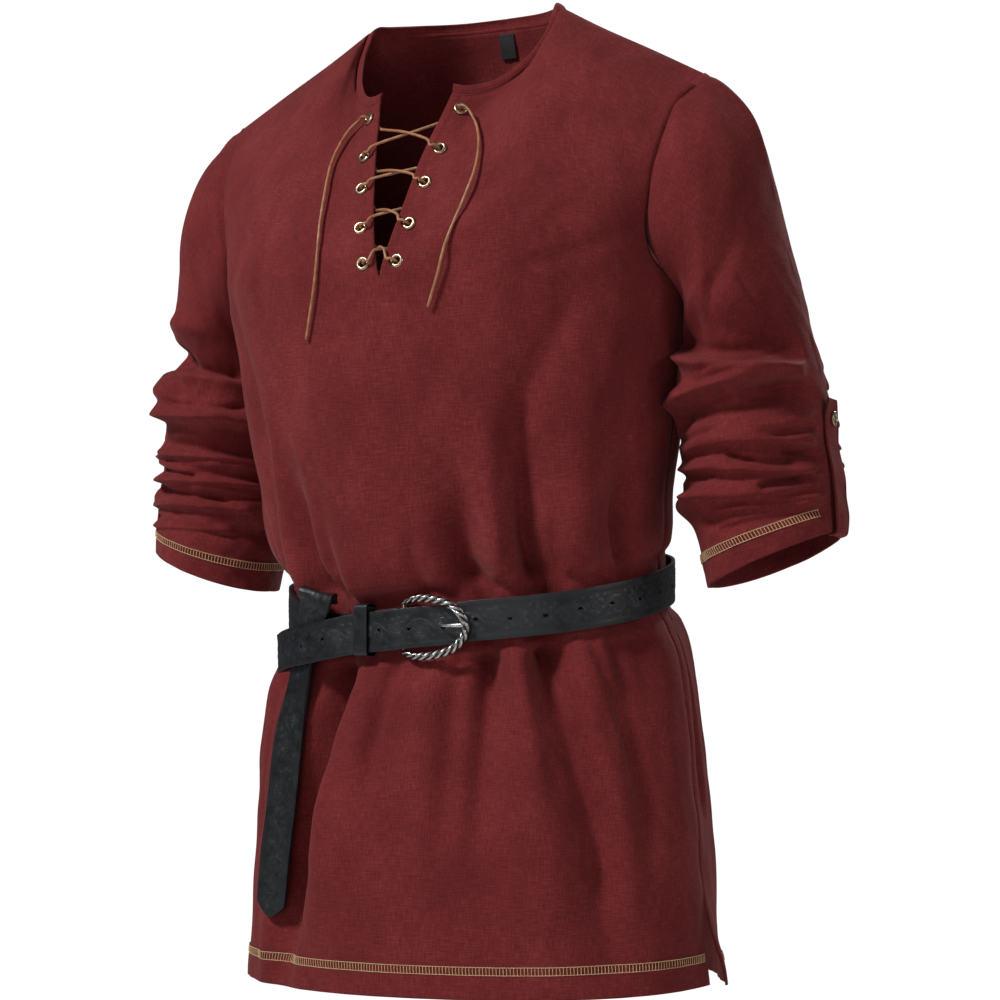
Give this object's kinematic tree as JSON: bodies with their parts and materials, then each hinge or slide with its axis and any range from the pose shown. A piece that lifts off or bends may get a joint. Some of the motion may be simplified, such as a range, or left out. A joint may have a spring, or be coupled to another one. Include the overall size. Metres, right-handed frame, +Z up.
{
  "type": "lace-up tunic shirt with ring belt",
  "caption": "Dark red lace-up tunic shirt with a laced chest slit, rolled sleeves held by tabs, and a knotted black leather ring belt.",
  "frame": {"origin": "on the centre plane at the height of the shoulder points beside the neck, where the wearer carries the shirt", "axes": "+Z up along the garment, +X towards the wearer's left sleeve, the chest faces -Y"},
  "size_m": [0.5988, 0.2855, 0.7708],
  "materials": {
    "cloth": "matt slubby linen and cotton weave",
    "label": "matt woven",
    "lace": "waxed",
    "leather": "satin, embossed",
    "brass": "aged",
    "silver": "antique silver plating"
  },
  "bodies": {
    "root": {"front_panel": "cloth", "back_panel": "cloth", "sleeve_left": "cloth", "sleeve_right": "cloth", "neckband": "cloth", "sleeve_tab_left": "cloth", "sleeve_tab_right": "cloth", "eyelet_left_1": "brass", "eyelet_left_2": "brass", "eyelet_left_3": "brass", "eyelet_left_4": "brass", "eyelet_left_5": "brass", "eyelet_right_1": "brass", "eyelet_right_2": "brass", "eyelet_right_3": "brass", "eyelet_right_4": "brass", "eyelet_right_5": "brass", "tab_button_left": "brass", "tab_button_right": "brass", "lacing": "lace", "lace_end_left": "lace", "lace_end_right": "lace", "belt_strap": "leather", "belt_tail": "leather", "belt_keeper": "leather", "buckle_ring": "silver", "buckle_prong": "silver", "size_label": "label"}
  },
  "joints": []
}
